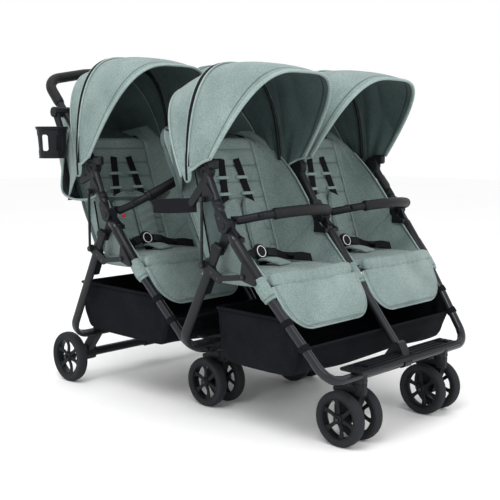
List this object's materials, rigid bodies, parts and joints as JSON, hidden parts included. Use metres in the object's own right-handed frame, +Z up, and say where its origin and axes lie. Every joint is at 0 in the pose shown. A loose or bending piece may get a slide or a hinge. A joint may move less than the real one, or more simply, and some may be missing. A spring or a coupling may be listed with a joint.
{
  "type": "quadruple stroller",
  "caption": "Folding tandem stroller with side-by-side seats in each row, rounded sun canopies, padded bumper bars, swivel castors and an arched push handle.",
  "frame": {"origin": "on the ground, under the middle of the stroller's bounding box", "axes": "+Z up, the children face -Y, +X to the seated children's left"},
  "size_m": [0.9052, 1.2444, 1.0546],
  "materials": {
    "black_tube": "satin black powder coat on aluminium tube",
    "black_plastic": "fine-grained moulded plastic",
    "tyre_rubber": "matt foam-filled tyre on a black moulded wheel",
    "green_fabric": "grey-green melange weave, padded where it is sat on",
    "dark_fabric": "charcoal weave",
    "grip_leather": "stitched black imitation leather over foam"
  },
  "bodies": {
    "rear_chassis": {"rear_lower_frame": "black_tube", "front_legs": "black_tube", "rear_footrest": "black_plastic", "rear_basket": "dark_fabric", "rear_seat_right": "green_fabric", "rear_seat_left": "green_fabric", "rear_buckle_right": "black_plastic", "rear_buckle_left": "black_plastic"},
    "rear_upper": {"handle_frame": "black_tube", "handle_grip": "grip_leather", "cup_holder": "black_plastic", "rear_upper_centre_post": "black_tube", "rear_canopy_rear_right": "green_fabric", "rear_canopy_rear_left": "green_fabric"},
    "front_upper": {"front_upper_post_right": "black_tube", "front_upper_post_left": "black_tube", "front_upper_centre_post": "black_tube", "front_canopy_rear_right": "green_fabric", "front_canopy_rear_left": "green_fabric"},
    "rear_leg_frame": {"rear_legs": "black_tube"},
    "front_chassis": {"front_lower_frame": "black_tube", "front_footrest": "black_plastic", "front_basket": "dark_fabric", "front_seat_right": "green_fabric", "front_seat_left": "green_fabric", "front_buckle_right": "black_plastic", "front_buckle_left": "black_plastic"},
    "front_release_rod_right": {"front_release_rod_right": "black_tube"},
    "front_brace_right": {"front_brace_right": "black_tube"},
    "front_release_rod_left": {"front_release_rod_left": "black_tube"},
    "front_brace_left": {"front_brace_left": "black_tube"},
    "rear_release_rod_right": {"rear_release_rod_right": "black_tube"},
    "rear_brace_right": {"rear_brace_right": "black_tube"},
    "rear_release_rod_left": {"rear_release_rod_left": "black_tube"},
    "rear_brace_left": {"rear_brace_left": "black_tube"},
    "front_backrest_right": {"front_backrest_right": "green_fabric"},
    "front_canopy_front_right": {"front_canopy_front_right": "green_fabric"},
    "front_bumper_right": {"front_bumper_right": "grip_leather"},
    "front_castor_fork_right": {"front_castor_fork_right": "black_plastic"},
    "front_castor_wheels_right": {"front_castor_wheels_right": "tyre_rubber"},
    "front_backrest_left": {"front_backrest_left": "green_fabric"},
    "front_canopy_front_left": {"front_canopy_front_left": "green_fabric"},
    "front_bumper_left": {"front_bumper_left": "grip_leather"},
    "front_castor_fork_left": {"front_castor_fork_left": "black_plastic"},
    "front_castor_wheels_left": {"front_castor_wheels_left": "tyre_rubber"},
    "rear_backrest_right": {"rear_backrest_right": "green_fabric"},
    "rear_canopy_front_right": {"rear_canopy_front_right": "green_fabric"},
    "rear_bumper_right": {"rear_bumper_right": "grip_leather"},
    "rear_castor_fork_right": {"rear_castor_fork_right": "black_plastic"},
    "rear_castor_wheels_right": {"rear_castor_wheels_right": "tyre_rubber"},
    "rear_backrest_left": {"rear_backrest_left": "green_fabric"},
    "rear_canopy_front_left": {"rear_canopy_front_left": "green_fabric"},
    "rear_bumper_left": {"rear_bumper_left": "grip_leather"},
    "rear_castor_fork_left": {"rear_castor_fork_left": "black_plastic"},
    "rear_castor_wheels_left": {"rear_castor_wheels_left": "tyre_rubber"},
    "rear_wheel_right": {"rear_wheel_right": "tyre_rubber"},
    "rear_wheel_left": {"rear_wheel_left": "tyre_rubber"},
    "brake_pedal": {"brake_pedal": "black_plastic"}
  },
  "joints": [
    {"name": "fold", "type": "hinge", "parent": "rear_chassis", "child": "rear_upper", "pos_m": [0.0414, 0.21776, 0.56968], "axis": [-1, 0, 0], "range_deg": [-45, 0]},
    {"name": "front_upper_fold", "type": "hinge", "parent": "front_chassis", "child": "front_upper", "pos_m": [0.0414, -0.28724, 0.56968], "axis": [-1, 0, 0], "range_deg": [-67.5, 0]},
    {"name": "rear_leg_fold", "type": "hinge", "parent": "rear_chassis", "child": "rear_leg_frame", "pos_m": [0.0414, 0.21776, 0.56968], "axis": [-1, 0, 0], "range_deg": [0, 22.5]},
    {"name": "front_chassis_fold", "type": "hinge", "parent": "rear_chassis", "child": "front_chassis", "pos_m": [0.0414, -0.28724, 0.56968], "axis": [-1, 0, 0], "range_deg": [-22.5, 0]},
    {"name": "front_release_rod_right_pivot", "type": "hinge", "parent": "front_upper", "child": "front_release_rod_right", "pos_m": [-0.3636, -0.21324, 0.63668], "axis": [-1, 0, 0], "range_deg": [0, 32]},
    {"name": "front_brace_right_pivot", "type": "hinge", "parent": "front_chassis", "child": "front_brace_right", "pos_m": [-0.3636, -0.36024, 0.44368], "axis": [-1, 0, 0], "range_deg": [0, 63]},
    {"name": "front_release_rod_left_pivot", "type": "hinge", "parent": "front_upper", "child": "front_release_rod_left", "pos_m": [0.4464, -0.21324, 0.63668], "axis": [-1, 0, 0], "range_deg": [0, 32]},
    {"name": "front_brace_left_pivot", "type": "hinge", "parent": "front_chassis", "child": "front_brace_left", "pos_m": [0.4464, -0.36024, 0.44368], "axis": [-1, 0, 0], "range_deg": [0, 63]},
    {"name": "rear_release_rod_right_pivot", "type": "hinge", "parent": "rear_upper", "child": "rear_release_rod_right", "pos_m": [-0.3636, 0.29176, 0.63668], "axis": [-1, 0, 0], "range_deg": [0, 25.02]},
    {"name": "rear_brace_right_pivot", "type": "hinge", "parent": "rear_chassis", "child": "rear_brace_right", "pos_m": [-0.3636, 0.14476, 0.44368], "axis": [-1, 0, 0], "range_deg": [0, 63]},
    {"name": "rear_release_rod_left_pivot", "type": "hinge", "parent": "rear_upper", "child": "rear_release_rod_left", "pos_m": [0.4464, 0.29176, 0.63668], "axis": [-1, 0, 0], "range_deg": [0, 25.02]},
    {"name": "rear_brace_left_pivot", "type": "hinge", "parent": "rear_chassis", "child": "rear_brace_left", "pos_m": [0.4464, 0.14476, 0.44368], "axis": [-1, 0, 0], "range_deg": [0, 63]},
    {"name": "front_backrest_right_recline", "type": "hinge", "parent": "front_upper", "child": "front_backrest_right", "pos_m": [-0.1536, -0.13924, 0.43668], "axis": [1, 0, 0], "range_deg": [-8, 0]},
    {"name": "front_canopy_front_right_open", "type": "hinge", "parent": "front_upper", "child": "front_canopy_front_right", "pos_m": [-0.1627, -0.14724, 0.62468], "axis": [-1, 0, 0], "range_deg": [0, 36]},
    {"name": "front_bumper_right_swing", "type": "hinge", "parent": "front_chassis", "child": "front_bumper_right", "pos_m": [-0.3146, -0.30124, 0.58268], "axis": [0, -1, 0], "range_deg": [0, 45]},
    {"name": "front_castor_fork_right_swivel", "type": "hinge", "parent": "front_chassis", "child": "front_castor_fork_right", "pos_m": [-0.1516, -0.58024, 0.11968], "axis": [0, 0, 1], "continuous": true},
    {"name": "front_castor_wheels_right_roll", "type": "hinge", "parent": "front_castor_fork_right", "child": "front_castor_wheels_right", "pos_m": [-0.1516, -0.54724, 0.07368], "axis": [1, 0, 0], "continuous": true},
    {"name": "front_backrest_left_recline", "type": "hinge", "parent": "front_upper", "child": "front_backrest_left", "pos_m": [0.2364, -0.13924, 0.43668], "axis": [1, 0, 0], "range_deg": [-8, 0]},
    {"name": "front_canopy_front_left_open", "type": "hinge", "parent": "front_upper", "child": "front_canopy_front_left", "pos_m": [0.2455, -0.14724, 0.62468], "axis": [-1, 0, 0], "range_deg": [0, 36]},
    {"name": "front_bumper_left_swing", "type": "hinge", "parent": "front_chassis", "child": "front_bumper_left", "pos_m": [0.0754, -0.30124, 0.58268], "axis": [0, -1, 0], "range_deg": [0, 45]},
    {"name": "front_castor_fork_left_swivel", "type": "hinge", "parent": "front_chassis", "child": "front_castor_fork_left", "pos_m": [0.2344, -0.58024, 0.11968], "axis": [0, 0, 1], "continuous": true},
    {"name": "front_castor_wheels_left_roll", "type": "hinge", "parent": "front_castor_fork_left", "child": "front_castor_wheels_left", "pos_m": [0.2344, -0.54724, 0.07368], "axis": [1, 0, 0], "continuous": true},
    {"name": "rear_backrest_right_recline", "type": "hinge", "parent": "rear_upper", "child": "rear_backrest_right", "pos_m": [-0.1536, 0.36576, 0.43668], "axis": [-1, 0, 0], "range_deg": [0, 20]},
    {"name": "rear_canopy_front_right_open", "type": "hinge", "parent": "rear_upper", "child": "rear_canopy_front_right", "pos_m": [-0.1627, 0.35776, 0.66968], "axis": [-1, 0, 0], "range_deg": [0, 16]},
    {"name": "rear_bumper_right_swing", "type": "hinge", "parent": "rear_chassis", "child": "rear_bumper_right", "pos_m": [-0.3146, 0.20376, 0.58268], "axis": [0, -1, 0], "range_deg": [-23, 22]},
    {"name": "rear_castor_fork_right_swivel", "type": "hinge", "parent": "rear_chassis", "child": "rear_castor_fork_right", "pos_m": [-0.1516, -0.07524, 0.11968], "axis": [0, 0, 1], "continuous": true},
    {"name": "rear_castor_wheels_right_roll", "type": "hinge", "parent": "rear_castor_fork_right", "child": "rear_castor_wheels_right", "pos_m": [-0.1516, -0.04224, 0.07368], "axis": [1, 0, 0], "continuous": true},
    {"name": "rear_backrest_left_recline", "type": "hinge", "parent": "rear_upper", "child": "rear_backrest_left", "pos_m": [0.2364, 0.36576, 0.43668], "axis": [-1, 0, 0], "range_deg": [0, 20]},
    {"name": "rear_canopy_front_left_open", "type": "hinge", "parent": "rear_upper", "child": "rear_canopy_front_left", "pos_m": [0.2455, 0.35776, 0.66968], "axis": [-1, 0, 0], "range_deg": [0, 16]},
    {"name": "rear_bumper_left_swing", "type": "hinge", "parent": "rear_chassis", "child": "rear_bumper_left", "pos_m": [0.0754, 0.20376, 0.58268], "axis": [0, -1, 0], "range_deg": [0, 45]},
    {"name": "rear_castor_fork_left_swivel", "type": "hinge", "parent": "rear_chassis", "child": "rear_castor_fork_left", "pos_m": [0.2344, -0.07524, 0.11968], "axis": [0, 0, 1], "continuous": true},
    {"name": "rear_castor_wheels_left_roll", "type": "hinge", "parent": "rear_castor_fork_left", "child": "rear_castor_wheels_left", "pos_m": [0.2344, -0.04224, 0.07368], "axis": [1, 0, 0], "continuous": true},
    {"name": "rear_wheel_right_roll", "type": "hinge", "parent": "rear_leg_frame", "child": "rear_wheel_right", "pos_m": [-0.3163, 0.48716, 0.08168], "axis": [1, 0, 0], "continuous": true},
    {"name": "rear_wheel_left_roll", "type": "hinge", "parent": "rear_leg_frame", "child": "rear_wheel_left", "pos_m": [0.3991, 0.48716, 0.08168], "axis": [1, 0, 0], "continuous": true},
    {"name": "brake_pedal_press", "type": "hinge", "parent": "rear_leg_frame", "child": "brake_pedal", "pos_m": [0.0414, 0.48716, 0.08168], "axis": [-1, 0, 0], "range_deg": [0, 25]}
  ],
  "couplings": [
    {"joint": "rear_leg_fold", "follows": "fold", "ratio": -0.5},
    {"joint": "front_chassis_fold", "follows": "fold", "ratio": 0.5},
    {"joint": "front_upper_fold", "follows": "fold", "ratio": 1.5},
    {"joint": "front_release_rod_right_pivot", "follows": "fold", "ratio": -0.711},
    {"joint": "front_brace_right_pivot", "follows": "fold", "ratio": -1.4},
    {"joint": "front_release_rod_left_pivot", "follows": "fold", "ratio": -0.711},
    {"joint": "front_brace_left_pivot", "follows": "fold", "ratio": -1.4},
    {"joint": "rear_release_rod_right_pivot", "follows": "fold", "ratio": -0.556},
    {"joint": "rear_brace_right_pivot", "follows": "fold", "ratio": -1.4},
    {"joint": "rear_release_rod_left_pivot", "follows": "fold", "ratio": -0.556},
    {"joint": "rear_brace_left_pivot", "follows": "fold", "ratio": -1.4}
  ]
}
